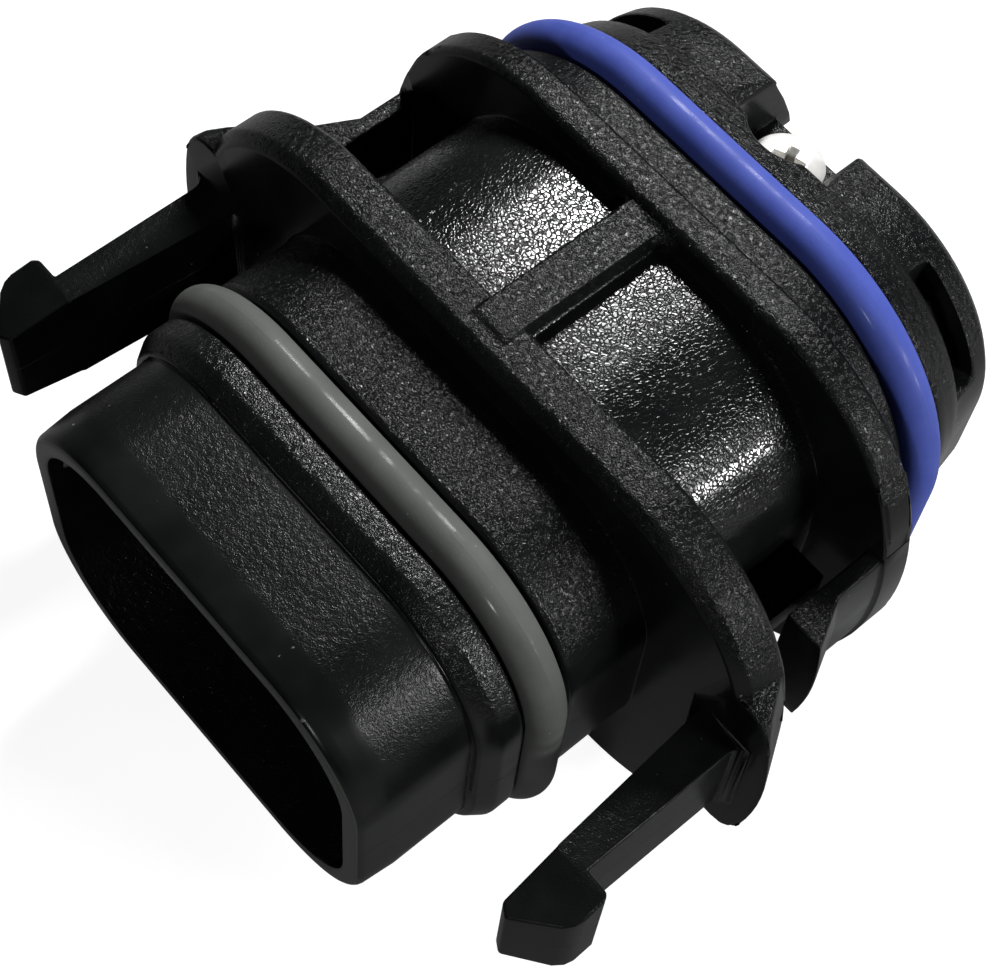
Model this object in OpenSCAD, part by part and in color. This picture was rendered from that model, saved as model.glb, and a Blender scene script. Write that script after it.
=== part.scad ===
// Bulkhead power connector: a black moulded housing that snaps into a panel,
// with a latching socket in front, two ring seals and a screwed-in contact carrier.
// Millimetres. X is the long axis, Y the plug axis with the mouth at -Y, Z is up.
// The origin is on the plug axis at the rear face of the front flange.

/* [Socket shroud] */
// Width of the shroud
shroud_w = 27.3; // [26:0.1:27.8]
// Height of the shroud
shroud_h = 20.8; // [20:0.1:21.2]
// Corner radius of the shroud
shroud_r = 7.0; // [6:0.1:7.4]
// Straight length of the shroud
shroud_l = 7.1; // [5:0.1:9]
// Wall thickness of the shroud
shroud_wall = 1.25; // [1:0.05:1.6]
// Extra wall thickness at the two ends of the shroud
end_wall = 0.3; // [0.1:0.05:0.5]
// Length of the slight lead-in at the mouth
lead_l = 2.4; // [1:0.1:3.5]
// Drop of the lead-in at the mouth
lead_drop = 0.2; // [0.1:0.05:0.4]
// Width of each guide rib in the socket
guide_w = 1.2; // [0.8:0.1:1.6]
// Height of each guide rib in the socket
guide_h = 0.8; // [0.4:0.1:1.2]
// Distance of the inner guide ribs from the middle
guide_in = 3.5; // [2.5:0.1:5]
// Distance of the outer guide ribs from the middle
guide_out = 10.4; // [9.8:0.1:10.6]
// Setback of the guide ribs from the mouth
guide_set = 0.4; // [0.3:0.1:1]

/* [Neck and front seal] */
// Width of the neck
neck_w = 29.6; // [29:0.1:30.4]
// Height of the neck
neck_h = 22.4; // [22:0.1:23]
// Corner radius of the neck
neck_r = 7.9; // [7.4:0.1:8.4]
// Length of the sloped step from shroud to neck
step_l = 1.0; // [0.6:0.1:1.4]
// Rise of the sloped step
step_rise = 0.7; // [0.4:0.05:0.8]
// Length of the land in front of the front seal
land_l = 1.5; // [1:0.1:2.2]
// Width of the front seal groove
front_groove_w = 2.9; // [2.7:0.1:3.3]
// Depth of the front seal groove
front_groove_d = 1.55; // [1.3:0.05:1.7]
// Thickness of the front seal
front_seal_d = 2.4; // [2:0.05:2.5]
// Length of the neck behind the front seal
neck_l = 5.2; // [4:0.1:6.5]

/* [Front flange] */
// Reach of the front flange beyond the outer faces of the arms
flange_over = 0.1; // [0.1:0.05:0.2]
// Height of the front flange
flange_h = 27.8; // [27:0.1:28.4]
// Corner radius of the front flange
flange_r = 10.4; // [9.8:0.1:11]
// Thickness of the front flange
flange_t = 3.0; // [2.4:0.1:3.6]
// Bevel on the front edge of the front flange
flange_bevel = 0.6; // [0.3:0.1:0.9]
// Reach of the end barbs beyond the arms at their blunt front
barb_reach = 2.2; // [1.6:0.1:2.6]
// Reach of the end barbs beyond the arms at the back
barb_back_reach = 0.3; // [0.2:0.1:0.6]
// Height of the end barbs
barb_h = 14.4; // [12:0.1:16]
// Rounding of the corners of the end barbs
barb_round = 1.2; // [0.6:0.1:1.6]

/* [Latch arms] */
// Height of each latch arm
arm_h = 7.3; // [6:0.1:8.4]
// Length of each latch arm in front of the flange
arm_l = 14.8; // [13:0.1:16]
// Distance of the outer face of each arm from the middle
arm_out = 21.9; // [21.6:0.1:22]
// Thickness of each arm at the flange
arm_root = 2.7; // [2.2:0.1:3]
// Thickness of each arm at its head
arm_tip = 1.6; // [1.2:0.1:1.9]
// Reach of the hook beyond the arm
hook_reach = 1.75; // [1.4:0.05:2.2]
// Length of the hook
hook_l = 4.5; // [3.8:0.1:5.2]
// Slope of the top and bottom of the hook
hook_slope = 0.75; // [0.4:0.05:1]
// Fillet where each arm joins the flange
arm_fillet = 0.9; // [0.6:0.1:1.4]

/* [Barrel and snap fingers] */
// Width of the barrel
barrel_w = 29.6; // [29:0.1:30.2]
// Height of the barrel
barrel_h = 23.2; // [22.6:0.1:23.6]
// Corner radius of the barrel
barrel_r = 9.6; // [9.2:0.1:10]
// Length of the barrel between the flanges
barrel_l = 9.3; // [8.4:0.1:10.4]
// Width of the key rib on top of the barrel
key_w = 2.4; // [1.8:0.1:3]
// Height of the key rib above the plug axis
key_top = 14.1; // [13:0.1:14.2]
// Reach of the end ribs from the middle
end_rib_out = 17.4; // [16.4:0.1:17.8]
// Thickness of the end ribs
end_rib_t = 2.4; // [1.6:0.1:3.2]
// Length of the end ribs
end_rib_l = 8.0; // [6:0.1:8.4]
// Height of each snap finger
finger_h = 8.7; // [7:0.1:9.6]
// Distance of the inner face of each finger from the middle
finger_in = 18.45; // [18.3:0.05:18.6]
// Outer radius of the fingers
finger_r = 19.95; // [19.85:0.05:20]
// Radius of the wedge at the finger ends
wedge_r = 21.4; // [20.8:0.1:21.8]
// Length of the wedge
wedge_l = 2.85; // [2:0.05:3.2]
// Panel gap between the wedges and the front flange
panel_gap = 3.35; // [3:0.05:4.4]

/* [Rear flange and rear seal] */
// Width of the rear flange
rear_w = 39.1; // [38.6:0.1:39.6]
// Height of the rear flange
rear_h = 28.5; // [28.4:0.1:29.2]
// Corner radius of the rear flange
rear_r = 10.8; // [10.2:0.1:11.2]
// Radius of the rounded ends of the rear flange
rear_end_r = 20.1; // [20.05:0.05:20.4]
// Thickness of the rear flange
rear_t = 2.0; // [1.6:0.1:2.6]
// Width of the band behind the rear flange
band_w = 34.3; // [33.8:0.1:34.8]
// Height of the band behind the rear flange
band_h = 27.6; // [27.2:0.1:27.8]
// Corner radius of the band
band_r = 11.2; // [10.8:0.1:11.6]
// Length of the band
band_l = 2.05; // [1.6:0.05:2.6]
// Width of the rear seal groove
rear_groove_w = 2.85; // [2.6:0.05:3.3]
// Depth of the rear seal groove
rear_groove_d = 1.5; // [1.3:0.05:1.6]
// Thickness of the rear seal
rear_seal_d = 2.3; // [2:0.05:2.5]

/* [Tail] */
// Width of the tail at the rear seal
tail_w = 33.9; // [33.4:0.1:34.2]
// Height of the tail at the rear seal
tail_h = 26.4; // [26:0.1:26.8]
// Corner radius of the tail at the rear seal
tail_r = 10.95; // [10.8:0.05:11.2]
// Length of the tapering land
tail_land_l = 2.35; // [2:0.05:2.8]
// Drop of the land along its length
tail_land_drop = 0.65; // [0.3:0.05:0.8]
// Depth of the fine step at the end of the land
tail_step = 0.15; // [0.1:0.05:0.25]
// Length of the two lobes
lobe_l = 3.65; // [3.4:0.05:4]
// Drop of the lobes along their length
lobe_drop = 0.7; // [0.4:0.05:0.9]
// Width of the screw notch between the lobes
notch_w = 6.4; // [5.6:0.1:7.2]
// Bevel at the inner ends of the lobes
notch_bevel = 0.7; // [0.3:0.05:1]
// Height of the notch floor above the plug axis
notch_floor = 7.6; // [7.5:0.1:8.2]
// Wall round the notch
notch_wall = 1.2; // [1:0.1:1.5]
// Wall in front of the notch
notch_front = 1.9; // [1.7:0.1:2.2]
// Reach of the screw head into the land in front of the notch
screw_set = 0.45; // [0.2:0.05:0.5]
// Thickness of the notch floor
notch_floor_t = 1.8; // [1.5:0.1:2]
// Overhang of the notch floor behind the lobes
notch_over = 0.6; // [0.4:0.1:0.8]
// Overhang of the notch cheeks behind the lobes
cheek_over = 2.3; // [1.6:0.1:2.6]
// Radius of the round seat about the screw
screw_seat_r = 2.75; // [2.6:0.05:2.95]
// Distance of the latch windows from the middle
window_in = 10.0; // [9.6:0.1:10.4]
// Height of the lower edge of the windows
window_low = 5.6; // [5.4:0.1:5.8]
// Width of the windows along the plug axis
window_l = 1.55; // [1.4:0.05:1.8]
// Setback of the windows from the start of the lobes
window_set = 0.25; // [0.15:0.05:0.5]

/* [Contact carrier] */
// Depth of the socket from its mouth to the partition
socket_depth = 15.7; // [15.2:0.1:16.2]
// Thickness of the partition
partition_t = 2.0; // [1.6:0.1:2.4]
// Wall thickness below the front seal groove
deep_wall = 1.3; // [1.1:0.05:1.5]
// Wall thickness of the barrel
barrel_wall = 1.7; // [1.5:0.05:1.9]
// Half height of the carrier nose and block
nose_r = 3.2; // [3.05:0.05:3.5]
// Reach of the nose in front of the partition
nose_reach = 0.3; // [0:0.1:0.8]
// Thickness of the carrier base
base_t = 2.4; // [2:0.1:2.8]
// Thickness of the carrier seal
carrier_seal_d = 1.6; // [1.4:0.05:1.8]
// Thickness of the second carrier rim
rim_t = 1.8; // [1.4:0.1:2.2]
// Length of the block behind the rims
block_l = 5.6; // [5:0.1:6.4]
// Half width of the tongue under the screw
tongue_half = 4.0; // [3.6:0.1:4.3]
// Thickness of the tongue under the screw
tongue_t = 3.2; // [3:0.1:3.4]
// Thickness of the carrier's snap arms
snap_t = 1.4; // [1.2:0.1:1.6]
// Reach of the carrier's snap hooks into the windows
snap_reach = 1.1; // [0.8:0.1:1.3]

/* [Contacts and screw] */
// Distance between neighbouring contacts
pitch = 7.0; // [6.6:0.1:7.2]
// Radius of the contact pins
pin_r = 1.25; // [1.1:0.05:1.4]
// Radius of the contact shanks inside the carrier
shank_r = 1.5; // [1.45:0.05:1.7]
// Reach of the shanks in front of the carrier nose
shank_out = 0.3; // [0.2:0.05:0.5]
// Free length of the pins in front of the carrier nose
pin_free = 6.4; // [5.4:0.1:7]
// Radius of the contact collars
collar_r = 2.0; // [1.8:0.05:2.2]
// Length of the contact collars
collar_l = 2.0; // [1.6:0.1:2.4]
// Radius of the contact tails
tail_pin_r = 1.6; // [1.5:0.05:1.7]
// Length of the solder cups behind the block
cup_l = 5.2; // [4.4:0.1:5.8]
// Radius of the solder cup bore
cup_bore = 1.05; // [0.8:0.05:1.1]
// Radius of the screw head
head_r = 2.2; // [1.9:0.05:2.3]
// Height of the screw head
head_h = 1.6; // [1.3:0.05:1.7]
// Radius of the screw shank
screw_r = 1.4; // [1.25:0.05:1.5]
// Length of the screw below its head
screw_l = 4.8; // [4.2:0.1:5]
// Gap left between pieces that seat on one another
seat = 0.02; // [0.01:0.01:0.05]
// Gap round pieces that slide into the housing
slip = 0.15; // [0.1:0.01:0.2]

/* [Edges] */
// Softened edge of the shroud's mouth
mouth_edge = 0.3; // [0.15:0.05:0.35]
// Softened edges of the lands beside the seals
land_edge = 0.2; // [0.1:0.05:0.3]
// Softened edges of the flanges
rim_edge = 0.3; // [0.15:0.05:0.4]
// Softened rear edge of the lobes
lobe_edge = 0.55; // [0.2:0.05:0.6]

/* [Hidden] */
$fn = 96;
bite = 0.5;
far = 30;

// Straight half-lengths of each section inside its corner radius
shroud_c = shroud_w / 2 - shroud_r;
shroud_d = shroud_h / 2 - shroud_r;
neck_c = neck_w / 2 - neck_r;
neck_d = neck_h / 2 - neck_r;
flange_c = arm_out + flange_over - flange_r;
flange_d = flange_h / 2 - flange_r;
barrel_c = barrel_w / 2 - barrel_r;
barrel_d = barrel_h / 2 - barrel_r;
rear_c = rear_w / 2 - rear_r;
rear_d = rear_h / 2 - rear_r;
band_c = band_w / 2 - band_r;
band_d = band_h / 2 - band_r;
tail_c = tail_w / 2 - tail_r;
tail_d = tail_h / 2 - tail_r;

// Stations along the plug axis
y_face = -flange_t;
y_neck = y_face - neck_l;
y_groove = y_neck - front_groove_w;
y_land = y_groove - land_l;
y_step = y_land - step_l;
y_mouth = y_step - shroud_l;
y_part = y_mouth + socket_depth;
y_base = y_part + partition_t;
y_back = barrel_l;
y_rear = y_back + rear_t;
y_band = y_rear + band_l;
y_tail = y_band + rear_groove_w;
y_lobe = y_tail + tail_land_l;
y_end = y_lobe + lobe_l;
y_seal = y_base + base_t;
y_rim = y_seal + carrier_seal_d + 0.3;
y_block = y_rim + rim_t;
y_block_end = y_block + block_l;
y_nose = y_part - nose_reach;
y_collar = y_rim;

// Radii
barb_r = arm_out + barb_reach;
barb_back_r = arm_out + barb_back_reach;
front_floor = neck_r - front_groove_d;
rear_floor = band_r - rear_groove_d;
deep_r = front_floor - deep_wall;
cavity_r = barrel_r - barrel_wall;
lobe_r = tail_r - tail_land_drop - tail_step;
carrier_r = cavity_r - slip;
seal_floor = cavity_r - seat - carrier_seal_d;
screw_y = y_lobe + head_r - screw_set;

// Rounded section: straight half-lengths c and d, corner radius r
module section(c, d, r) {
    square([2 * (c + r), 2 * d], center = true);
    square([2 * c, 2 * (d + r)], center = true);
    for (sx = [-1, 1]) {
        for (sz = [-1, 1]) {
            translate([sx * c, sz * d]) circle(r);
        }
    }
}

// Section carried along the plug axis from y0 to y1
module slab(c, d, r, y0, y1) {
    translate([0, y1, 0])
        rotate([90, 0, 0])
            linear_extrude(y1 - y0)
                section(c, d, r);
}

// Section whose corner radius goes from r0 at y0 to r1 at y1
module taper(c, d, r0, r1, y0, y1) {
    for (sx = [-1, 1]) {
        for (sz = [-1, 1]) {
            translate([sx * c, y0, sz * d])
                rotate([-90, 0, 0])
                    cylinder(h = y1 - y0, r1 = r0, r2 = r1);
        }
    }
    rotate([90, 0, 90])
        linear_extrude(2 * c, center = true)
            polygon([[y0, -d - r0], [y1, -d - r1], [y1, d + r1], [y0, d + r0]]);
    linear_extrude(2 * d, center = true)
        polygon([[-c - r0, y0], [-c - r1, y1], [c + r1, y1], [c + r0, y0]]);
}

// Section carried along the plug axis with an edge e0 at y0 and e1 at y1
module soft_slab(c, d, r, y0, y1, e0, e1) {
    taper(c, d, r - e0, r, y0, y0 + e0);
    slab(c, d, r, y0 + e0, y1 - e1);
    taper(c, d, r, r - e1, y1 - e1, y1);
}

// Flat bar with round ends carried along the plug axis
module bar(c, r, y0, y1) {
    translate([0, y1, 0])
        rotate([90, 0, 0])
            linear_extrude(y1 - y0) {
                square([2 * c, 2 * r], center = true);
                translate([-c, 0]) circle(r);
                translate([c, 0]) circle(r);
            }
}

// Quarter turn of a round cord about the point x, z, starting at the angle a
module quarter_ring(x, z, path, thick, a) {
    translate([x, z, 0])
        rotate([0, 0, a])
            rotate_extrude(angle = 90)
                translate([path, 0])
                    circle(d = thick);
}

// Round seal lying on a rounded section, centred at y
module seal_ring(c, d, path, thick, y) {
    translate([0, y, 0]) {
        for (s = [-1, 1]) {
            translate([0, 0, s * (d + path)])
                rotate([0, 90, 0])
                    cylinder(h = 2 * c, d = thick, center = true);
            translate([s * (c + path), 0, 0])
                cylinder(h = 2 * d, d = thick, center = true);
        }
        rotate([90, 0, 0]) {
            quarter_ring(c, d, path, thick, 0);
            quarter_ring(-c, d, path, thick, 90);
            quarter_ring(-c, -d, path, thick, 180);
            quarter_ring(c, -d, path, thick, 270);
        }
    }
}

// Inside corner fill of radius r, lying in the corner of +X and +Y
module corner_fill(r) {
    difference() {
        square(r);
        translate([r, r]) circle(r);
    }
}

// Latch arm of the +X end with its hook
module latch_arm() {
    y_tip = y_face - arm_l;
    y_catch = y_tip + hook_l;
    difference() {
        union() {
            linear_extrude(arm_h, center = true)
                polygon([
                    [arm_out - arm_root, y_face + bite],
                    [arm_out - arm_root, y_face],
                    [arm_out - arm_tip, y_tip + 0.45],
                    [arm_out - arm_tip + 0.7, y_tip],
                    [arm_out + 0.72 * hook_reach, y_tip + 0.38 * hook_l],
                    [arm_out + 0.93 * hook_reach, y_tip + 0.5 * hook_l],
                    [arm_out + hook_reach, y_tip + 0.62 * hook_l],
                    [arm_out + 0.96 * hook_reach, y_catch - 0.35],
                    [arm_out + 0.8 * hook_reach, y_catch],
                    [arm_out, y_catch],
                    [arm_out, y_face + bite]
                ]);
            linear_extrude(arm_h, center = true)
                translate([arm_out, y_face])
                    rotate(-90)
                        corner_fill(arm_fillet);
            linear_extrude(arm_h, center = true)
                translate([arm_out - arm_root, y_face])
                    rotate(180)
                        corner_fill(arm_fillet);
        }
        for (s = [0, 1]) {
            mirror([0, 0, s])
                translate([arm_out - 5, 0, 0])
                    rotate([90, 0, 90])
                        linear_extrude(10)
                            polygon([
                                [y_catch - 0.4, arm_h / 2],
                                [y_tip - bite, arm_h / 2 - hook_slope],
                                [y_tip - bite, arm_h],
                                [y_catch - 0.4, arm_h]
                            ]);
        }
    }
}

// End barb of the front flange at +X, a blunt-fronted piece of a cone with rounded corners
module end_barb() {
    corner = sqrt(barb_r * barb_r - barb_h * barb_h / 4);
    intersection() {
        translate([0, y_face, 0])
            rotate([-90, 0, 0])
                cylinder(h = flange_t, r1 = barb_r, r2 = barb_back_r);
        translate([0, bite, 0])
            rotate([90, 0, 0])
                linear_extrude(flange_t + 2 * bite)
                    polygon([
                        [flange_c + bite, -barb_h / 2],
                        [corner - barb_round, -barb_h / 2],
                        [corner - 0.4 * barb_round, -barb_h / 2 + 0.2 * barb_round],
                        [corner, -barb_h / 2 + 0.7 * barb_round],
                        [corner + 0.4 * barb_round, -barb_h / 2 + 1.7 * barb_round],
                        [barb_r + bite, -barb_h / 8],
                        [barb_r + bite, barb_h / 8],
                        [corner + 0.4 * barb_round, barb_h / 2 - 1.7 * barb_round],
                        [corner, barb_h / 2 - 0.7 * barb_round],
                        [corner - 0.4 * barb_round, barb_h / 2 - 0.2 * barb_round],
                        [corner - barb_round, barb_h / 2],
                        [flange_c + bite, barb_h / 2]
                    ]);
    }
}

// Snap finger of the +X end with its wedge
module snap_finger() {
    intersection() {
        union() {
            translate([0, panel_gap, 0])
                rotate([-90, 0, 0])
                    cylinder(h = y_back - panel_gap + bite, r = finger_r);
            translate([0, panel_gap, 0])
                rotate([-90, 0, 0])
                    cylinder(h = wedge_l, r1 = wedge_r, r2 = finger_r);
        }
        translate([finger_in, 0, -finger_h / 2])
            cube([far, far, finger_h]);
    }
}

// Rounded +X end of the rear flange
module rear_flange_end() {
    intersection() {
        translate([0, y_back, 0])
            rotate([-90, 0, 0])
                cylinder(h = rear_t, r = rear_end_r);
        translate([rear_c + bite, y_back - 1, -9.4])
            cube([far, rear_t + 2, 18.8]);
    }
}

// Key rib along the top of the barrel, a little lower where it meets the rear flange
module key_rib() {
    key_end = rear_h / 2 - rim_edge - 0.1;
    rotate([90, 0, 90])
        linear_extrude(key_w, center = true)
            polygon([
                [y_face + flange_bevel, barrel_h / 2 - bite],
                [y_face + flange_bevel, key_top - 0.8],
                [y_face + flange_bevel + 1, key_top],
                [y_back - key_w / 2, key_top],
                [y_back, key_end],
                [y_back + bite, key_end],
                [y_back + bite, barrel_h / 2 - bite]
            ]);
    for (s = [0, 1]) {
        mirror([s, 0, 0])
            translate([key_w / 2, y_back, barrel_h / 2 - bite])
                linear_extrude(key_end - 0.1 - barrel_h / 2 + bite)
                    rotate(-90)
                        corner_fill(key_w / 2 - 0.2);
    }
}

// Outside of the moulding, before anything is hollowed
module housing_outside() {
    taper(shroud_c, shroud_d, shroud_r - lead_drop - mouth_edge, shroud_r - lead_drop,
        y_mouth, y_mouth + mouth_edge);
    taper(shroud_c, shroud_d, shroud_r - lead_drop, shroud_r, y_mouth + mouth_edge, y_mouth + lead_l);
    slab(shroud_c, shroud_d, shroud_r, y_mouth + lead_l, y_step + bite);
    taper(neck_c, neck_d, neck_r - step_rise, neck_r, y_step, y_land);
    slab(neck_c, neck_d, neck_r, y_land, y_groove - land_edge);
    taper(neck_c, neck_d, neck_r, neck_r - land_edge, y_groove - land_edge, y_groove);
    slab(neck_c, neck_d, front_floor, y_groove - bite, y_neck + bite);
    taper(neck_c, neck_d, neck_r - land_edge, neck_r, y_neck, y_neck + land_edge);
    slab(neck_c, neck_d, neck_r, y_neck + land_edge, y_face + bite);
    taper(flange_c, flange_d, flange_r - flange_bevel, flange_r, y_face, y_face + flange_bevel);
    slab(flange_c, flange_d, flange_r, y_face + flange_bevel, -rim_edge);
    taper(flange_c, flange_d, flange_r, flange_r - rim_edge, -rim_edge, 0);
    slab(barrel_c, barrel_d, barrel_r, -bite, y_back + bite);
    soft_slab(rear_c, rear_d, rear_r, y_back, y_rear, rim_edge, rim_edge / 2);
    slab(band_c, band_d, band_r, y_rear - bite, y_band - land_edge);
    taper(band_c, band_d, band_r, band_r - land_edge, y_band - land_edge, y_band);
    slab(band_c, band_d, rear_floor, y_band - bite, y_tail + bite);
    taper(tail_c, tail_d, tail_r - land_edge, tail_r, y_tail, y_tail + land_edge);
    taper(tail_c, tail_d, tail_r, tail_r - tail_land_drop, y_tail + land_edge, y_lobe);
    taper(tail_c, tail_d, lobe_r, lobe_r - lobe_drop, y_lobe - bite, y_end - lobe_edge);
    taper(tail_c, tail_d, lobe_r - lobe_drop, lobe_r - lobe_drop - lobe_edge, y_end - lobe_edge, y_end);
    for (s = [0, 1]) {
        mirror([s, 0, 0]) {
            latch_arm();
            end_barb();
            snap_finger();
            rear_flange_end();
            translate([barrel_c + barrel_r - bite, -bite, -end_rib_t / 2])
                cube([end_rib_out - barrel_c - barrel_r + bite, end_rib_l + bite, end_rib_t]);
        }
    }
    key_rib();
}

// Socket, partition opening and rear cavity
module housing_inside() {
    slab(shroud_c - end_wall, shroud_d, shroud_r - shroud_wall, y_mouth - bite, y_land);
    slab(neck_c, neck_d, deep_r, y_land - bite, y_part);
    bar(pitch, nose_r + slip, y_part - bite, y_base + bite);
    slab(barrel_c, barrel_d, cavity_r, y_base, y_end + 1);
}

// Guide ribs along the top of the socket
module guide_ribs() {
    c = shroud_c - end_wall;
    r = shroud_r - shroud_wall;
    roof = shroud_d + r;
    for (s = [-1, 1]) {
        translate([s * guide_in - guide_w / 2, y_mouth + guide_set, roof - guide_h])
            cube([guide_w, y_land - y_mouth - guide_set, guide_h + bite]);
        intersection() {
            translate([s * guide_out - guide_w / 2, y_mouth + guide_set, 0])
                cube([guide_w, y_land - y_mouth - guide_set, far]);
            difference() {
                slab(c, shroud_d, r + 0.3, y_mouth + guide_set, y_land);
                slab(c, shroud_d, r - guide_h, y_mouth, y_land + bite);
            }
        }
    }
}

// Walled pocket that carries the screw head, with sloped cheeks at its sides
module notch_pocket() {
    low = notch_floor - notch_floor_t;
    top = tail_d + lobe_r - lobe_drop - 0.4;
    for (s = [0, 1]) {
        mirror([s, 0, 0])
            translate([notch_w / 2, 0, 0])
                rotate([90, 0, 90])
                    linear_extrude(notch_wall)
                        polygon([
                            [y_lobe - notch_front, low],
                            [y_end + cheek_over, low],
                            [y_end + 0.85 * cheek_over, low + 1.1],
                            [y_end + 0.5 * cheek_over, low + 2.9],
                            [y_end + 0.2 * cheek_over, low + 4.2],
                            [y_end - 0.2, top],
                            [y_lobe - notch_front, top]
                        ]);
    }
    translate([-notch_w / 2 - bite, y_lobe - notch_front, low])
        cube([notch_w + 2 * bite, notch_front, top - low]);
    translate([-notch_w / 2 - bite, y_lobe - notch_front, low])
        cube([notch_w + 2 * bite, y_end + notch_over - y_lobe + notch_front, notch_floor_t]);
}

// Space of the notch with its bevelled upper edges, and the hole for the screw
module notch_space() {
    top = tail_d + lobe_r;
    translate([-notch_w / 2, y_lobe, notch_floor])
        cube([notch_w, far, far]);
    translate([0, y_lobe + far, 0])
        rotate([90, 0, 0])
            linear_extrude(far)
                polygon([
                    [-notch_w / 2 - 2 * notch_bevel, top + notch_bevel],
                    [-notch_w / 2, top - 1.3 * notch_bevel],
                    [notch_w / 2, top - 1.3 * notch_bevel],
                    [notch_w / 2 + 2 * notch_bevel, top + notch_bevel]
                ]);
    translate([0, screw_y, notch_floor])
        cylinder(h = far, r = screw_seat_r);
    translate([0, screw_y, notch_floor - 3])
        cylinder(h = 4, r = screw_r + slip);
}

// Latch windows at the corners of the lobes
module windows() {
    for (sx = [0, 1]) {
        for (sz = [0, 1]) {
            mirror([sx, 0, 0])
                mirror([0, 0, sz])
                    translate([window_in, y_lobe + window_set, window_low])
                        cube([far, window_l, far]);
        }
    }
}

module housing() {
    color([0.05, 0.05, 0.055])
        difference() {
            union() {
                difference() {
                    housing_outside();
                    housing_inside();
                }
                notch_pocket();
                guide_ribs();
            }
            notch_space();
            windows();
        }
}

module front_seal() {
    color([0.34, 0.36, 0.35])
        seal_ring(neck_c, neck_d, front_floor + seat + front_seal_d / 2, front_seal_d,
            y_neck - front_groove_w / 2);
}

module rear_seal() {
    color([0.16, 0.2, 0.55])
        seal_ring(band_c, band_d, rear_floor + seat + rear_seal_d / 2, rear_seal_d,
            y_band + rear_groove_w / 2);
}

// Arm of the carrier that snaps into the window of the +X, +Z corner
module snap_arm() {
    y_hook = y_lobe + window_set + window_l - slip;
    arm_r = carrier_r - slip;
    module wedge() {
        polygon([[0, 0], [20, 20 * tan(32)], [20 / tan(49), 20]]);
    }
    translate([barrel_c, y_hook, barrel_d])
        rotate([90, 0, 0]) {
            linear_extrude(y_hook - y_rim - bite)
                intersection() {
                    difference() {
                        circle(arm_r);
                        circle(arm_r - snap_t);
                    }
                    wedge();
                }
            linear_extrude(window_l - 2 * slip)
                intersection() {
                    difference() {
                        circle(carrier_r + snap_reach);
                        circle(arm_r - snap_t / 2);
                    }
                    wedge();
                }
        }
}

module carrier() {
    y_tongue = screw_y + head_r + slip;
    tongue_top = notch_floor - notch_floor_t - seat;
    color([0.13, 0.13, 0.14])
        difference() {
            union() {
                slab(barrel_c, barrel_d, carrier_r, y_base + seat, y_seal);
                slab(barrel_c, barrel_d, seal_floor - seat, y_seal - bite, y_rim + bite);
                slab(barrel_c, barrel_d, carrier_r, y_rim, y_block);
                bar(pitch, nose_r, y_nose, y_base + 1);
                bar(pitch, nose_r, y_block - bite, y_block_end);
                translate([-tongue_half, y_block - bite, tongue_top - tongue_t])
                    cube([2 * tongue_half, y_tongue - y_block + bite, tongue_t]);
                for (sx = [0, 1]) {
                    for (sz = [0, 1]) {
                        mirror([sx, 0, 0])
                            mirror([0, 0, sz])
                                snap_arm();
                    }
                }
            }
            for (k = [-1, 0, 1]) {
                translate([k * pitch, y_nose - 1, 0])
                    rotate([-90, 0, 0])
                        cylinder(h = y_collar - y_nose + 2, r = shank_r + seat);
                translate([k * pitch, y_collar, 0])
                    rotate([-90, 0, 0])
                        cylinder(h = y_block_end - y_collar + 1, r = collar_r + seat);
            }
            translate([0, screw_y, tongue_top - tongue_t - 1])
                cylinder(h = tongue_t + 2, r = screw_r + seat);
        }
}

module carrier_seal() {
    color([0.3, 0.1, 0.08])
        seal_ring(barrel_c, barrel_d, seal_floor + carrier_seal_d / 2, carrier_seal_d,
            (y_seal + y_rim) / 2);
}

// Contact at x with a round tip in front and a solder cup behind
module contact(x) {
    y_tip = y_nose - pin_free;
    y_cup = y_block_end + cup_l;
    translate([x, 0, 0])
        difference() {
            union() {
                translate([0, y_tip, 0])
                    rotate([-90, 0, 0])
                        cylinder(h = 0.6, r1 = pin_r - 0.5, r2 = pin_r);
                translate([0, y_tip + 0.6, 0])
                    rotate([-90, 0, 0])
                        cylinder(h = y_collar - y_tip, r = pin_r);
                translate([0, y_nose - shank_out, 0])
                    rotate([-90, 0, 0])
                        cylinder(h = y_collar + bite - y_nose + shank_out, r = shank_r);
                translate([0, y_collar + seat, 0])
                    rotate([-90, 0, 0])
                        cylinder(h = collar_l, r = collar_r);
                translate([0, y_collar + 1, 0])
                    rotate([-90, 0, 0])
                        cylinder(h = y_cup - y_collar - 1, r = tail_pin_r);
            }
            translate([0, y_block_end + 0.8, 0])
                rotate([-90, 0, 0])
                    cylinder(h = cup_l, r = cup_bore);
            translate([-3, y_block_end + 1.6, 0.5])
                cube([6, cup_l, 3]);
        }
}

module contact_line() {
    color([0.78, 0.66, 0.36]) contact(-pitch);
}

module contact_earth() {
    color([0.78, 0.66, 0.36]) contact(0);
}

module contact_neutral() {
    color([0.78, 0.66, 0.36]) contact(pitch);
}

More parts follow.
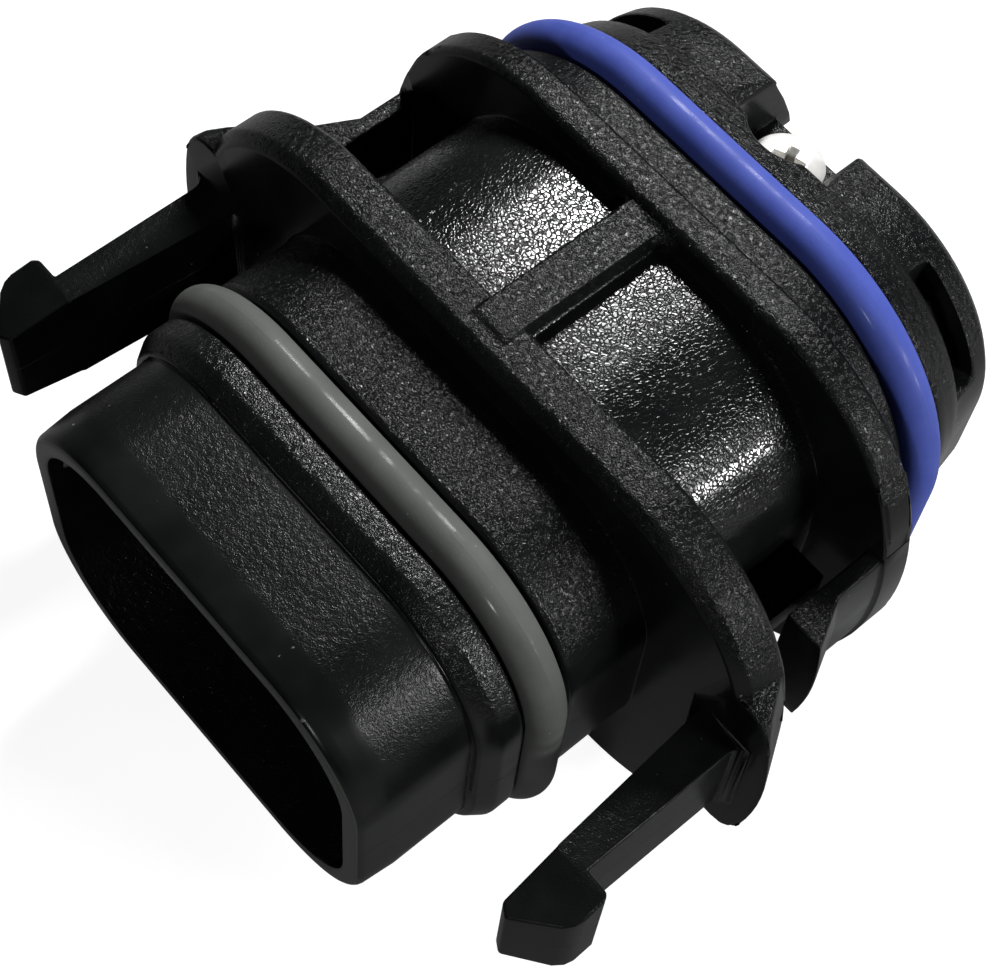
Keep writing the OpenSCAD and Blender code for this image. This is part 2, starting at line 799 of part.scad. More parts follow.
// Pan-head screw with a cross recess
module screw() {
    z_seat = notch_floor + seat;
    color([0.78, 0.78, 0.76])
        translate([0, screw_y, z_seat])
            difference() {
                union() {
                    cylinder(h = head_h * 0.55, r = head_r);
                    intersection() {
                        translate([0, 0, head_h - 2 * head_r])
                            sphere(2 * head_r);
                        translate([0, 0, head_h * 0.5])
                            cylinder(h = head_h, r = head_r);
                    }
                    translate([0, 0, 0.6 - screw_l])
                        cylinder(h = screw_l, r = screw_r);
                    translate([0, 0, -screw_l])
                        cylinder(h = 0.6, r1 = screw_r - 0.5, r2 = screw_r);
                }
                for (a = [0, 90]) {
                    rotate([0, 0, a + 20])
                        rotate([90, 0, 0])
                            linear_extrude(0.55, center = true)
                                polygon([
                                    [-0.55 * head_r, head_h + 0.2],
                                    [-0.17 * head_r, 0.3 * head_h],
                                    [0.17 * head_r, 0.3 * head_h],
                                    [0.55 * head_r, head_h + 0.2]
                                ]);
                }
            }
}

housing();
front_seal();
rear_seal();
carrier();
carrier_seal();
contact_line();
contact_earth();
contact_neutral();
screw();
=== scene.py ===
"""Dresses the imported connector: softened edges, spark-eroded nylon, silicone rings, bright metal."""
import math

import bmesh
import bpy
from mathutils import Matrix, Vector
from mathutils.bvhtree import BVHTree
from mathutils.kdtree import KDTree


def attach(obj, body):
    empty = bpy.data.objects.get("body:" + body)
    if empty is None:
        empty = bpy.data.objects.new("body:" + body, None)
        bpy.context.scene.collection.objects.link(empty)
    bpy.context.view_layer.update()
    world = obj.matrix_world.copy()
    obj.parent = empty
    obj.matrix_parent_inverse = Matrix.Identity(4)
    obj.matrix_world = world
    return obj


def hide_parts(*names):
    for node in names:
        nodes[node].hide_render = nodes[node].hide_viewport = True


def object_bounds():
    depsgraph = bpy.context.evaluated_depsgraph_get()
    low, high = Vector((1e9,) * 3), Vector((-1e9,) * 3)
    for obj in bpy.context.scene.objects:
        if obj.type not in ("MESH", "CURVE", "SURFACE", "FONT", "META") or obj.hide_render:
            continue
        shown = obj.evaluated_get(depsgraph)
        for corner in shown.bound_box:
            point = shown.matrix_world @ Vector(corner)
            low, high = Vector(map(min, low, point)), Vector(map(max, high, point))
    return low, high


MM = 0.001
WELD = 1e-6

# Camera solved from the photograph
PHOTO_W = 988
FOCAL_PX = 2242.4
SENSOR_W = 36.0
CAMERA_AT = Vector((41.354, -43.484, 107.507)) * MM
CAMERA_LOOK = Vector((-0.32448, 0.34250, -0.88171))
CAMERA_UP = Vector((-0.68572, 0.55689, 0.46868))
CLIP_START = 0.005
CLIP_END = 20

# Softened edges of the moulded and turned pieces: widths, and reaches as shares of the width
HOUSING_EDGE = 0.16 * MM
CARRIER_EDGE = 0.12 * MM
METAL_EDGE = 0.06 * MM
EDGE_SEGMENTS = 2
EDGE_ANGLE = math.radians(28)
SMOOTH_ANGLE = math.radians(32)
SPOT_STEP = 0.5
STRAY_REACH = 2.5
TEAR = 0.45
LEFT_SHARP = 2.0
PASSES = 4

# Lamps: direction from the object, the way their height runs, distance, width and height, and power
KEY = {
    "direction": Vector((-0.345, 0.55, 0.76)),
    "spread": Vector((0.0, 1.0, 0.0)),
    "far": 0.20,
    "size": (0.028, 0.064),
    "power": 0.46,
}
SIDE = {
    "direction": Vector((0.875, 0.42, 0.24)),
    "spread": Vector((0.0, 0.0, 1.0)),
    "far": 0.34,
    "size": (0.05, 0.035),
    "power": 0.32,
}
CORNER = {
    "direction": Vector((0.82, 0.30, 0.49)),
    "spread": Vector((0.0, 0.0, 1.0)),
    "far": 0.34,
    "size": (0.05, 0.05),
    "power": 0.50,
}
FRONT = {
    "direction": Vector((0.43, -0.72, 0.55)),
    "spread": Vector((0.0, 0.0, 1.0)),
    "far": 0.34,
    "size": (0.018, 0.024),
    "power": 0.17,
}
WORLD_FILL = 0.02
FLOOR_GLOW = 0.90
FLOOR_TONE = 0.30
FLOOR_HALF = 1.5
WHITE = (1, 1, 1, 1)

# Barrel section in mm, and how far the photograph's barrel stands above and below the solid one
BARREL_C = 5.2
BARREL_D = 2.0
BARREL_R = 9.6
BARREL_L = 9.3
BARREL_RISE = 0.9

# Where the moulding's grain changes, in mm along the plug axis and from the middle
SHROUD_END = -13.4
NECK_END = -3.2
NECK_HALF = 15.0
ARM_ROOT = -2.9
LIP_END = -20.55
PATCH_FRONT = -17.9
PATCH_REAR = -14.4
PATCH_FADE = 1.0
REGION_SLACK = 0.2
BARREL_SLOT, SHROUD_SLOT, NECK_SLOT, ARM_SLOT, LIP_SLOT = range(1, 6)

# Nylon finishes: grain depth in mm, parts of islands and of fine noise in it, islands to the mm,
# width of the valleys between them, fine features to the mm, roughness of islands, valleys and smooth
# faces, gloss of islands and the valleys' part of it
GENERAL = {"depth": 0.060, "islands": 0.0, "fine": 1.0, "cells": 4.6, "vein": 0.3, "per_mm": 10.0,
           "rough": 0.16, "vein_rough": 0.19, "smooth": 0.25, "gloss": 0.17, "vein_gloss": 0.8}
BARREL = {"depth": 0.018, "islands": 0.5, "fine": 0.35, "cells": 4.2, "vein": 0.20, "per_mm": 3.0,
          "rough": 0.12, "vein_rough": 0.30, "smooth": 0.20, "gloss": 0.60, "vein_gloss": 0.05}
SHROUD = {"depth": 0.027, "islands": 0.0, "fine": 1.0, "cells": 4.6, "vein": 0.3, "per_mm": 9.0,
          "rough": 0.28, "vein_rough": 0.32, "smooth": 0.26, "gloss": 0.22, "vein_gloss": 0.8}
NECK = {"depth": 0.052, "islands": 0.1, "fine": 1.0, "cells": 4.6, "vein": 0.25, "per_mm": 9.0,
        "rough": 0.21, "vein_rough": 0.27, "smooth": 0.25, "gloss": 0.38, "vein_gloss": 0.6}
ARM = {"depth": 0.016, "islands": 0.0, "fine": 1.0, "cells": 4.6, "vein": 0.3, "per_mm": 10.0,
       "rough": 0.25, "vein_rough": 0.28, "smooth": 0.24, "gloss": 0.11, "vein_gloss": 0.8}
LIP = {"depth": 0.012, "islands": 0.0, "fine": 1.0, "cells": 4.6, "vein": 0.3, "per_mm": 10.0,
       "rough": 0.40, "vein_rough": 0.45, "smooth": 0.40, "gloss": 0.20, "vein_gloss": 0.8}
CARRIER = {"depth": 0.020, "islands": 0.7, "fine": 0.9, "cells": 4.6, "vein": 0.3, "per_mm": 6.5,
           "rough": 0.42, "vein_rough": 0.60, "smooth": 0.36, "gloss": 0.30, "vein_gloss": 0.8}
BLACK = {"colour": (0.0046, 0.0049, 0.0051, 1), "pale": (0.0085, 0.0089, 0.0091, 1)}
# Lip's pale grey: painted reflection of the white table on the mouth's rim, not the nylon's own colour
LIP_PAINTED_REFLECTION = {"colour": (0.066, 0.073, 0.066, 1), "pale": (0.078, 0.086, 0.078, 1)}
CARRIER_GREY = {"colour": (0.022, 0.022, 0.023, 1), "pale": (0.035, 0.035, 0.036, 1)}

# Parts of the upward normal between which a face turns from smooth to eroded, and the grain left
# on smooth faces
ERODED_LIMITS = (0.25, 0.62)
SMOOTH_GRAIN = 0.04
# Drift of the grain: features to the mm and reach in mm
WARP_PER_MM = 3.1
WARP_REACH = 0.30
# Slow change of tint and polish over the moulding
SMEAR_PER_MM = 0.25
SMEAR_TINT = (0.3, 0.75)
SMEAR_POLISH = 0.12
# Mould line: wander and edges in mm, limits of the sideways normal, shade, colour, depth and strength
LINE_WANDER = 0.05
LINE_EDGES = (0.07, 0.02)
LINE_SIDES = (0.55, 0.8)
LINE_SHADE = 0.6
LINE_COLOUR = (0.002, 0.002, 0.002, 1)
LINE_DEPTH = 0.03
LINE_STRENGTH = 0.5
# Dust on the nylon
DUST_PER_MM = 1.7
DUST_LIMITS = (0.80, 0.84)
DUST_SHADE = 0.45
DUST_COLOUR = (0.40, 0.40, 0.38, 1)

# Silicone rings: colours, roughness and strength of the broken sheen along them
RING_GREY = {"colour": (0.091, 0.096, 0.090, 1), "pale": (0.108, 0.114, 0.107, 1),
             "rough": 0.62, "sheen": 0.22}
RING_BLUE = {"colour": (0.055, 0.082, 0.36, 1), "pale": (0.068, 0.098, 0.40, 1),
             "rough": 0.58, "sheen": 0.10}
RING_RED = {"colour": (0.22, 0.05, 0.035, 1), "pale": (0.30, 0.075, 0.05, 1),
            "rough": 0.55, "sheen": 0.10}
SILICONE_LEVEL = 0.15
SHEEN_ROUGH = 0.16
SHEEN_LIMITS = (0.35, 0.65)
BLOOM_PER_MM = 0.35
BLOOM_TINT = (0.35, 0.7)
BLOOM_POLISH = (0.3, 0.8)
SKIN_PER_MM = 6.0
SKIN_DEPTH = 0.012
SKIN_STRENGTH = 0.6
SPECKS_PER_MM = 0.9
SPECK_EDGES = (0.05, 0.03)
SPECK_SHADE = 0.3
SPECK_COLOUR = (0.6, 0.6, 0.6, 1)

# Metals: colours, roughness, axis across which the turning marks run, and metallic part
BRASS = {"colour": (0.72, 0.58, 0.30, 1), "pale": (0.82, 0.70, 0.42, 1),
         "rough": 0.26, "turned_axis": 1, "metallic": 1.0}
ZINC = {"colour": (0.88, 0.87, 0.84, 1), "pale": (0.94, 0.93, 0.91, 1),
        "rough": 0.45, "turned_axis": 2, "metallic": 0.4}
MARKS_PER_MM = 9.0
MARKS_DEPTH = 0.004
MARKS_STRENGTH = 0.5
STAIN_PER_MM = 0.9
STAIN_TINT = (0.35, 0.7)
STAIN_POLISH = (0.25, 0.75)
POLISH_LOSS = 0.05
POLISH_GAIN = 0.08
# Cross recess of the screw in mm: reach, drop of its rim, soft edge and depth, and the colour of the
# painted shade in it
RECESS_R = 1.25
RECESS_RIM = 0.42
RECESS_EDGE = 0.15
RECESS_DEPTH = 0.25
RECESS_PAINTED_SHADE = (0.16, 0.145, 0.115, 1)


def add(tree, kind, inputs=None, **settings):
    """Adds a shader node, with its settings and its inputs as values or links."""
    made = tree.nodes.new(kind)
    for key, value in settings.items():
        setattr(made, key, value)
    for key, value in (inputs or {}).items():
        if isinstance(value, bpy.types.NodeSocket):
            tree.links.new(value, made.inputs[key])
        else:
            made.inputs[key].default_value = value
    return made


def calc(tree, operation, a, b=0.0):
    """The output of a maths node."""
    return add(tree, "ShaderNodeMath", {0: a, 1: b}, operation=operation).outputs[0]


def ramp(tree, value, low, high, out_low=0.0, out_high=1.0):
    """A smooth step of value from low to high."""
    made = add(
        tree,
        "ShaderNodeMapRange",
        {"Value": value, "From Min": low, "From Max": high, "To Min": out_low, "To Max": out_high},
        interpolation_type="SMOOTHSTEP",
    )
    return made.outputs["Result"]


def blend_colour(tree, factor, a, b):
    """A mix of two colours."""
    made = add(tree, "ShaderNodeMix", {0: factor, 6: a, 7: b}, data_type="RGBA")
    return made.outputs[2]


def blend_value(tree, factor, a, b):
    """A mix of two values."""
    return add(tree, "ShaderNodeMix", {0: factor, 2: a, 3: b}, data_type="FLOAT").outputs[0]


def new_material(name):
    """A material with a Principled shader, and the place on the surface in millimetres."""
    made = bpy.data.materials.new(name)
    made.use_nodes = True
    tree = made.node_tree
    tree.nodes.clear()
    shader = add(tree, "ShaderNodeBsdfPrincipled")
    add(tree, "ShaderNodeOutputMaterial", {"Surface": shader.outputs[0]})
    coord = add(tree, "ShaderNodeTexCoord")
    place = add(
        tree,
        "ShaderNodeVectorMath",
        {0: coord.outputs["Object"], "Scale": 1 / MM},
        operation="SCALE",
    )
    return made, tree, shader, place.outputs[0], coord.outputs["Normal"]


def noise(tree, place, per_mm, detail=2.0, rough=0.5):
    """Noise with this many features to the millimetre."""
    made = add(
        tree,
        "ShaderNodeTexNoise",
        {"Vector": place, "Scale": per_mm, "Detail": detail, "Roughness": rough},
    )
    return made.outputs["Fac"]


def cells(tree, place, per_mm, feature="F1"):
    """Distance to the cells of a Voronoi pattern with this many cells to the millimetre."""
    made = add(
        tree,
        "ShaderNodeTexVoronoi",
        {"Vector": place, "Scale": per_mm, "Randomness": 1.0},
        feature=feature,
    )
    return made.outputs["Distance"]


def bump(tree, height, depth_mm, strength=1.0, normal=None):
    """A bump whose full height is depth_mm."""
    inputs = {"Height": height, "Distance": depth_mm * MM, "Strength": strength}
    if normal is not None:
        inputs["Normal"] = normal
    return add(tree, "ShaderNodeBump", inputs).outputs[0]


def drifted(tree, place):
    """The place, drifted a little so that the grain has no straight runs."""
    warp = add(tree, "ShaderNodeTexNoise", {"Vector": place, "Scale": WARP_PER_MM, "Detail": 0.0})
    shift = add(
        tree,
        "ShaderNodeVectorMath",
        {0: warp.outputs["Color"], "Scale": WARP_REACH},
        operation="SCALE",
    )
    return add(tree, "ShaderNodeVectorMath", {0: place, 1: shift.outputs[0]}, operation="ADD").outputs[0]


def nylon(name, colour, pale, grain, patch=None):
    """Nylon, spark-eroded on faces that the mould opens from or on a patch of them, else smooth."""
    made, tree, shader, place, normal = new_material(name)
    split = add(tree, "ShaderNodeSeparateXYZ", {0: normal})
    up = calc(tree, "ABSOLUTE", split.outputs[2])
    side = calc(tree, "ABSOLUTE", split.outputs[0])
    at = add(tree, "ShaderNodeSeparateXYZ", {0: place}).outputs
    eroded = ramp(tree, up, *ERODED_LIMITS)
    if patch:
        front, rear = patch
        from_front = ramp(tree, at[1], front - PATCH_FADE, front)
        from_rear = ramp(tree, at[1], rear + PATCH_FADE, rear)
        eroded = calc(tree, "MULTIPLY", eroded, calc(tree, "MULTIPLY", from_front, from_rear))

    # Grain of the eroded faces: flat islands with valleys between, and a finer roughness on top
    warped = drifted(tree, place)
    to_edge = cells(tree, warped, grain["cells"], feature="DISTANCE_TO_EDGE")
    islands = ramp(tree, to_edge, 0.0, grain["vein"])
    fine = noise(tree, warped, grain["per_mm"], detail=1.0, rough=0.6)
    fine = calc(tree, "MULTIPLY", fine, grain["fine"])
    relief = calc(tree, "ADD", calc(tree, "MULTIPLY", islands, grain["islands"]), fine)

    # Mould line round the middle of the end faces
    smear = noise(tree, place, SMEAR_PER_MM, detail=2.0, rough=0.65)
    from_mean = calc(tree, "SUBTRACT", smear, 0.5)
    wander = calc(tree, "MULTIPLY", from_mean, LINE_WANDER)
    level = calc(tree, "ABSOLUTE", calc(tree, "ADD", at[2], wander))
    line = calc(tree, "MULTIPLY", ramp(tree, level, *LINE_EDGES), ramp(tree, side, *LINE_SIDES))

    # Tint, with the line and the dust on it
    tint = blend_colour(tree, ramp(tree, smear, *SMEAR_TINT), colour, pale)
    tint = blend_colour(tree, calc(tree, "MULTIPLY", line, LINE_SHADE), tint, LINE_COLOUR)
    dust = ramp(tree, noise(tree, place, DUST_PER_MM, detail=1.0), *DUST_LIMITS)
    tint = blend_colour(tree, calc(tree, "MULTIPLY", dust, DUST_SHADE), tint, DUST_COLOUR)
    tree.links.new(tint, shader.inputs["Base Color"])

    # Roughness and gloss by finish
    rough = blend_value(tree, islands, grain["vein_rough"], grain["rough"])
    rough = blend_value(tree, eroded, grain["smooth"], rough)
    worn = calc(tree, "MULTIPLY", from_mean, SMEAR_POLISH)
    tree.links.new(calc(tree, "ADD", rough, worn), shader.inputs["Roughness"])
    gloss = blend_value(tree, islands, grain["gloss"] * grain["vein_gloss"], grain["gloss"])
    gloss = blend_value(tree, eroded, grain["gloss"], gloss)
    tree.links.new(gloss, shader.inputs["Specular IOR Level"])

    # Strength of the grain by finish
    strength = ramp(tree, eroded, 0.0, 1.0, SMOOTH_GRAIN, 1.0)
    face = bump(tree, line, LINE_DEPTH, LINE_STRENGTH)
    face = bump(tree, relief, grain["depth"], strength, face)
    tree.links.new(face, shader.inputs["Normal"])
    return made


def silicone(name, colour, pale, rough, sheen):
    """Satin silicone with a faint bloom, a few dust specks and a thin sheen that breaks up along it."""
    made, tree, shader, place, _ = new_material(name)
    shader.inputs["Specular IOR Level"].default_value = SILICONE_LEVEL
    shader.inputs["Coat Roughness"].default_value = SHEEN_ROUGH
    bloom = noise(tree, place, BLOOM_PER_MM, detail=4.0, rough=0.6)
    skin = noise(tree, place, SKIN_PER_MM)
    specks = ramp(tree, cells(tree, place, SPECKS_PER_MM), *SPECK_EDGES)
    tint = blend_colour(tree, ramp(tree, bloom, *BLOOM_TINT), colour, pale)
    tint = blend_colour(tree, calc(tree, "MULTIPLY", specks, SPECK_SHADE), tint, SPECK_COLOUR)
    polish = ramp(tree, bloom, *BLOOM_POLISH, rough - POLISH_LOSS, rough + POLISH_GAIN)
    tree.links.new(tint, shader.inputs["Base Color"])
    tree.links.new(polish, shader.inputs["Roughness"])
    tree.links.new(ramp(tree, bloom, *SHEEN_LIMITS, 0.0, sheen), shader.inputs["Coat Weight"])
    tree.links.new(bump(tree, skin, SKIN_DEPTH, SKIN_STRENGTH), shader.inputs["Normal"])
    return made


def in_recess(tree, place, rim):
    """One inside the recess round the point rim and below it, nought elsewhere."""
    off = add(tree, "ShaderNodeVectorMath", {0: place, 1: rim}, operation="SUBTRACT").outputs[0]
    apart = add(tree, "ShaderNodeSeparateXYZ", {0: off}).outputs
    squares = [calc(tree, "POWER", apart[i], 2) for i in (0, 1)]
    reach = calc(tree, "SQRT", calc(tree, "ADD", *squares))
    near = ramp(tree, reach, RECESS_R, RECESS_R - RECESS_EDGE)
    below = ramp(tree, apart[2], 0.0, -RECESS_DEPTH)
    return calc(tree, "MULTIPLY", near, below)


def metal(name, colour, pale, rough, turned_axis, metallic, recess=None):
    """Plated metal with fine turning marks across turned_axis, and painted shade inside a recess below
    its rim.
    """
    made, tree, shader, place, _ = new_material(name)
    shader.inputs["Metallic"].default_value = metallic
    split = add(tree, "ShaderNodeSeparateXYZ", {0: place})
    marks = noise(tree, split.outputs[turned_axis], MARKS_PER_MM)
    stain = noise(tree, place, STAIN_PER_MM, detail=3.0)
    tint = blend_colour(tree, ramp(tree, stain, *STAIN_TINT), colour, pale)
    if recess:
        # Painted shade: the screw's cross recess is darkened in the colour, standing in for the shade
        # that falls in it
        tint = blend_colour(tree, in_recess(tree, place, recess), tint, RECESS_PAINTED_SHADE)
    polish = ramp(tree, stain, *STAIN_POLISH, rough - POLISH_LOSS, rough + POLISH_GAIN)
    tree.links.new(tint, shader.inputs["Base Color"])
    tree.links.new(polish, shader.inputs["Roughness"])
    tree.links.new(bump(tree, marks, MARKS_DEPTH, MARKS_STRENGTH), shader.inputs["Normal"])
    return made


def node_top(node):
    """The middle of the top of a node's box."""
    spots = [v.co for v in node.data.vertices]
    low, high = ([pick(s[i] for s in spots) for i in range(3)] for pick in (min, max))
    return (low[0] + high[0]) / 2, (low[1] + high[1]) / 2, high[2]


def spot_tree(spots):
    """A search tree of points."""
    tree = KDTree(len(spots))
    for i, spot in enumerate(spots):
        tree.insert(spot, i)
    tree.balance()
    return tree


def sharp_edges(form):
    """The edges that the rounding takes."""
    return [e for e in form.edges if len(e.link_faces) == 2 and e.calc_face_angle() > EDGE_ANGLE]


def spots_along(edges, step):
    """Points along edges."""
    spots = []
    for edge in edges:
        start, end = (v.co for v in edge.verts)
        count = max(1, math.ceil(edge.calc_length() / step))
        spots += [start.lerp(end, i / count) for i in range(count + 1)]
    return spots


def mark_edges(form, torn, reach):
    """Marks the sharp edges for rounding, but for those that pass near a torn spot."""
    layers = form.edges.layers.float
    weight = layers.get("bevel_weight_edge") or layers.new("bevel_weight_edge")
    for edge in form.edges:
        edge[weight] = 0.0
    for edge in sharp_edges(form):
        start, end = (v.co for v in edge.verts)
        along = end - start
        edge[weight] = 1.0
        for spot in torn:
            part = min(1.0, max(0.0, (spot - start).dot(along) / along.length_squared))
            if (start + along * part - spot).length < reach:
                edge[weight] = 0.0
                break


def rounded(form, name, width):
    """A mesh of the form with its marked edges rounded."""
    mesh = bpy.data.meshes.new(name + "_sharp")
    form.to_mesh(mesh)
    draft = bpy.data.objects.new(name + "_draft", mesh)
    bpy.context.scene.collection.objects.link(draft)
    edge = draft.modifiers.new("soft_edges", "BEVEL")
    edge.width = width
    edge.segments = EDGE_SEGMENTS
    edge.limit_method = "WEIGHT"
    edge.use_clamp_overlap = False
    edge.loop_slide = False
    view = bpy.context.evaluated_depsgraph_get()
    soft = bpy.data.meshes.new_from_object(draft.evaluated_get(view))
    soft.name = name + "_dressed"
    bpy.data.objects.remove(draft)
    return soft


def torn_spots(mesh, skin, sharp, corners, width):
    """Places where the rounding left the solid's skin or threw a point along a face."""
    torn = [f.center.copy() for f in mesh.polygons if skin.find_nearest(f.center)[3] > TEAR * width]
    stray = STRAY_REACH * width
    form = bmesh.new()
    form.from_mesh(mesh)
    for vert in form.verts:
        if sharp.find(vert.co)[2] > stray and corners.find(vert.co)[2] > WELD:
            near = [e.other_vert(vert).co.copy() for e in vert.link_edges]
            torn += [vert.co.copy()] + [spot for spot in near if sharp.find(spot)[2] < stray]
    form.free()
    return torn


def softened(nodes, name, width):
    """A copy of a CAD node with its sharp edges rounded, which stands for the node."""
    form = bmesh.new()
    form.from_mesh(nodes[name].data)
    bmesh.ops.remove_doubles(form, verts=form.verts, dist=WELD)
    skin = BVHTree.FromBMesh(form)
    sharp = spot_tree(spots_along(sharp_edges(form), SPOT_STEP * width))
    corners = spot_tree([v.co.copy() for v in form.verts])
    torn = []
    for _ in range(PASSES):
        mark_edges(form, torn, LEFT_SHARP * width)
        soft = rounded(form, name, width)
        found = torn_spots(soft, skin, sharp, corners, width)
        if not found:
            break
        torn += found
    form.free()

    # Points that the rounding overshoots go back to the solid's skin
    for vert in soft.vertices:
        near, _, _, gap = skin.find_nearest(vert.co)
        if gap > TEAR * width:
            vert.co = near
    soft.update()
    soft.shade_smooth()
    soft.set_sharp_from_angle(angle=SMOOTH_ANGLE)
    piece = bpy.data.objects.new(name + "_dressed", soft)
    bpy.context.scene.collection.objects.link(piece)
    level = piece.modifiers.new("even_shading", "WEIGHTED_NORMAL")
    level.keep_sharp = True
    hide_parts(name)
    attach(piece, "root")
    return piece


def dress(piece, material):
    """Gives a piece its material."""
    piece.data.materials.clear()
    piece.data.materials.append(material)


def on_barrel(spot):
    """True for a point on the barrel's skin between the flanges."""
    dx = max(abs(spot.x) - BARREL_C, 0.0)
    dz = max(abs(spot.z) - BARREL_D, 0.0)
    reach = math.hypot(dx, dz)
    return abs(reach - BARREL_R) < REGION_SLACK and -REGION_SLACK < spot.y < BARREL_L + REGION_SLACK


def finish_regions(piece, barrel, shroud, neck, arm, lip):
    """Gives the barrel, shroud, neck, arms and mouth's lip their own finish; the lip's grey is painted
    reflection.
    """
    mesh = piece.data
    for finish in (barrel, shroud, neck, arm, lip):
        mesh.materials.append(finish)
    for face in mesh.polygons:
        spots = [mesh.vertices[v].co / MM for v in face.vertices]
        if all(on_barrel(spot) for spot in spots):
            face.material_index = BARREL_SLOT
        elif all(spot.y < ARM_ROOT and abs(spot.x) > NECK_HALF for spot in spots):
            face.material_index = ARM_SLOT
        elif all(spot.y < LIP_END for spot in spots):
            face.material_index = LIP_SLOT
        elif all(spot.y < SHROUD_END + REGION_SLACK for spot in spots):
            face.material_index = SHROUD_SLOT
        elif all(spot.y < NECK_END and abs(spot.x) < NECK_HALF for spot in spots):
            face.material_index = NECK_SLOT


def raise_barrel(piece):
    """Lifts the barrel's top and bottom, with the feet of the ribs on them, nearer the flange rims."""
    for vert in piece.data.vertices:
        spot = vert.co / MM
        if on_barrel(spot) and abs(spot.z) > BARREL_D:
            vert.co.z += math.copysign(BARREL_RISE * MM, spot.z)
    piece.data.update()


def facing(place, back, up):
    """The placing of a lamp or camera at a point, looking away from back with its height along up."""
    right = up.cross(back).normalized()
    turn = Matrix((right, back.cross(right), back)).transposed().to_4x4()
    return Matrix.Translation(place) @ turn


def area_lamp(name, centre, direction, spread, far, size, power):
    """A soft oblong lamp that looks at the centre, with its height along spread."""
    data = bpy.data.lights.new(name, "AREA")
    data.shape = "RECTANGLE"
    data.size, data.size_y = size
    data.energy = power
    lamp = bpy.data.objects.new(name, data)
    bpy.context.scene.collection.objects.link(lamp)
    back = direction.normalized()
    lamp.matrix_world = facing(centre + back * far, back, spread)


def make_camera():
    """The camera of the photograph."""
    data = bpy.data.cameras.new("camera")
    data.sensor_width = SENSOR_W
    data.lens = FOCAL_PX * SENSOR_W / PHOTO_W
    data.clip_start = CLIP_START
    data.clip_end = CLIP_END
    camera = bpy.data.objects.new("camera", data)
    bpy.context.scene.collection.objects.link(camera)
    camera.matrix_world = facing(CAMERA_AT, -CAMERA_LOOK.normalized(), CAMERA_UP)
    bpy.context.scene.camera = camera


def make_floor(level):
    """A plain pale table that shows white to the camera and keeps the shadow."""
    mesh = bpy.data.meshes.new("floor")
    corners = [(-1, -1), (1, -1), (1, 1), (-1, 1)]
    mesh.from_pydata([(x * FLOOR_HALF, y * FLOOR_HALF, level) for x, y in corners], [], [(0, 1, 2, 3)])
    floor = bpy.data.objects.new("floor", mesh)
    bpy.context.scene.collection.objects.link(floor)
    made = bpy.data.materials.new("floor_white")
    made.use_nodes = True
    tree = made.node_tree
    tree.nodes.clear()
    coat = add(tree, "ShaderNodeBsdfDiffuse", {"Color": (FLOOR_TONE, FLOOR_TONE, FLOOR_TONE, 1)})
    path = add(tree, "ShaderNodeLightPath")
    seen = calc(tree, "MULTIPLY", path.outputs["Is Camera Ray"], FLOOR_GLOW)
    glow = add(tree, "ShaderNodeEmission", {"Color": WHITE, "Strength": seen})
    both = add(tree, "ShaderNodeAddShader", {0: coat.outputs[0], 1: glow.outputs[0]})
    add(tree, "ShaderNodeOutputMaterial", {"Surface": both.outputs[0]})
    mesh.materials.append(made)


def make_world():
    """Dim even fill that the camera sees as white."""
    world = bpy.data.worlds.new("studio")
    bpy.context.scene.world = world
    world.use_nodes = True
    tree = world.node_tree
    tree.nodes.clear()
    path = add(tree, "ShaderNodeLightPath")
    power = ramp(tree, path.outputs["Is Camera Ray"], 0.0, 1.0, WORLD_FILL, 1.0)
    sky = add(tree, "ShaderNodeBackground", {"Color": WHITE, "Strength": power})
    add(tree, "ShaderNodeOutputWorld", {"Surface": sky.outputs[0]})


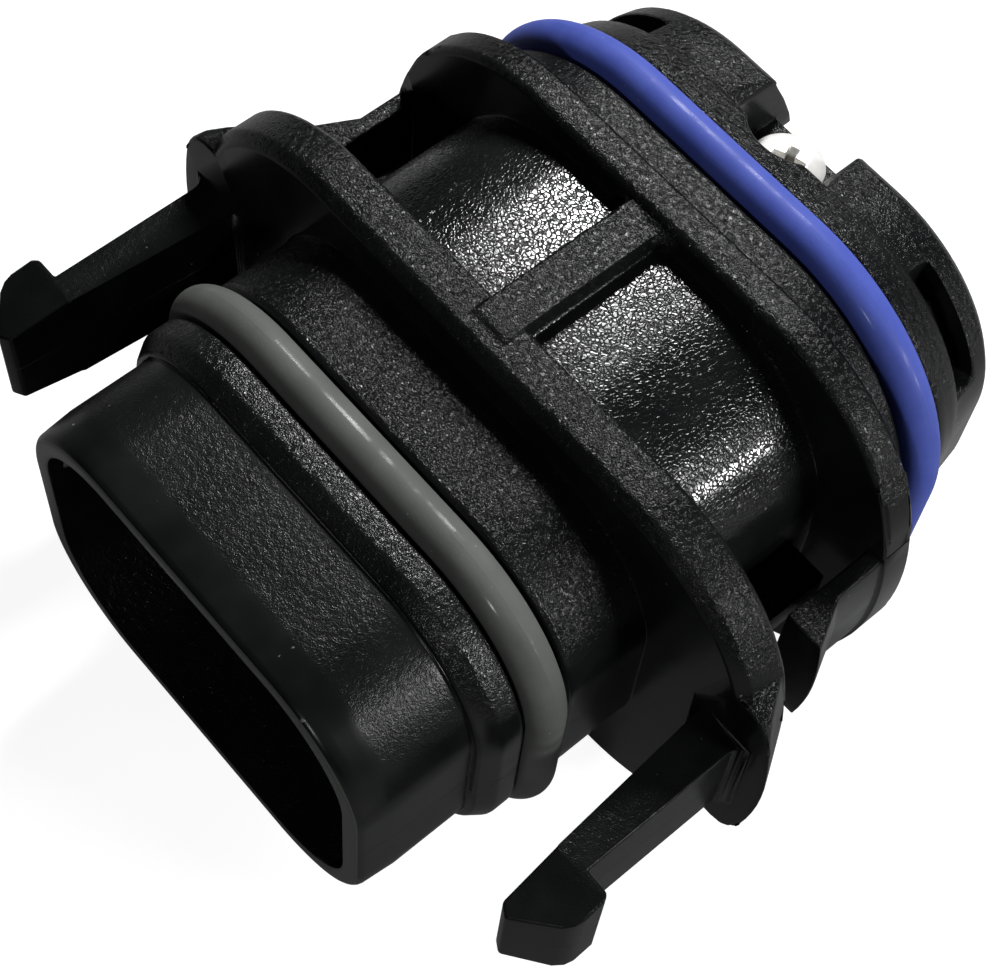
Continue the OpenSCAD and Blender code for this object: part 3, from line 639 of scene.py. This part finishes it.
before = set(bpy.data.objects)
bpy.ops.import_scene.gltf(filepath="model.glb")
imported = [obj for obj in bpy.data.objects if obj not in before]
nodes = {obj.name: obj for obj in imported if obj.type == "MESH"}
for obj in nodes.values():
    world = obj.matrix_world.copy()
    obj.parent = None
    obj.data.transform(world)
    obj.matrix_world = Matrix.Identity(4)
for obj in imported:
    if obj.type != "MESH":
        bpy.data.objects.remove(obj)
cad_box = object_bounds()

housing_nylon = nylon("housing_nylon", grain=GENERAL, **BLACK)
barrel_nylon = nylon("barrel_nylon", grain=BARREL, **BLACK)
shroud_nylon = nylon("shroud_nylon", grain=SHROUD, patch=(PATCH_FRONT, PATCH_REAR), **BLACK)
neck_nylon = nylon("neck_nylon", grain=NECK, **BLACK)
arm_nylon = nylon("arm_nylon", grain=ARM, **BLACK)
# The lip's paler grey paints the table's reflection on the mouth's rim
lip_nylon_painted_reflection = nylon("lip_nylon_painted_reflection", grain=LIP, **LIP_PAINTED_REFLECTION)
carrier_nylon = nylon("carrier_nylon", grain=CARRIER, **CARRIER_GREY)
seal_grey = silicone("seal_grey", **RING_GREY)
seal_blue = silicone("seal_blue", **RING_BLUE)
seal_red = silicone("seal_red", **RING_RED)
contact_metal = metal("contact_metal", **BRASS)
screw_rim = Vector(node_top(nodes["screw"])) / MM - Vector((0, 0, RECESS_RIM))
screw_metal = metal("screw_metal", recess=screw_rim, **ZINC)

housing = softened(nodes, "housing", HOUSING_EDGE)
dress(housing, housing_nylon)
finish_regions(housing, barrel_nylon, shroud_nylon, neck_nylon, arm_nylon, lip_nylon_painted_reflection)
raise_barrel(housing)
dress(softened(nodes, "carrier", CARRIER_EDGE), carrier_nylon)
dress(softened(nodes, "screw", METAL_EDGE), screw_metal)
for contact in ("contact_line", "contact_earth", "contact_neutral"):
    dress(softened(nodes, contact, METAL_EDGE), contact_metal)
for ring, material in (("front_seal", seal_grey), ("rear_seal", seal_blue), ("carrier_seal", seal_red)):
    nodes[ring].data.materials.clear()
    nodes[ring].data.materials.append(material)

centre = (cad_box[0] + cad_box[1]) / 2
make_camera()
make_floor(cad_box[0].z)
make_world()
for name, lamp in (("key", KEY), ("side", SIDE), ("corner", CORNER), ("front", FRONT)):
    area_lamp(name, centre, **lamp)
bpy.context.scene.view_settings.view_transform = "Standard"
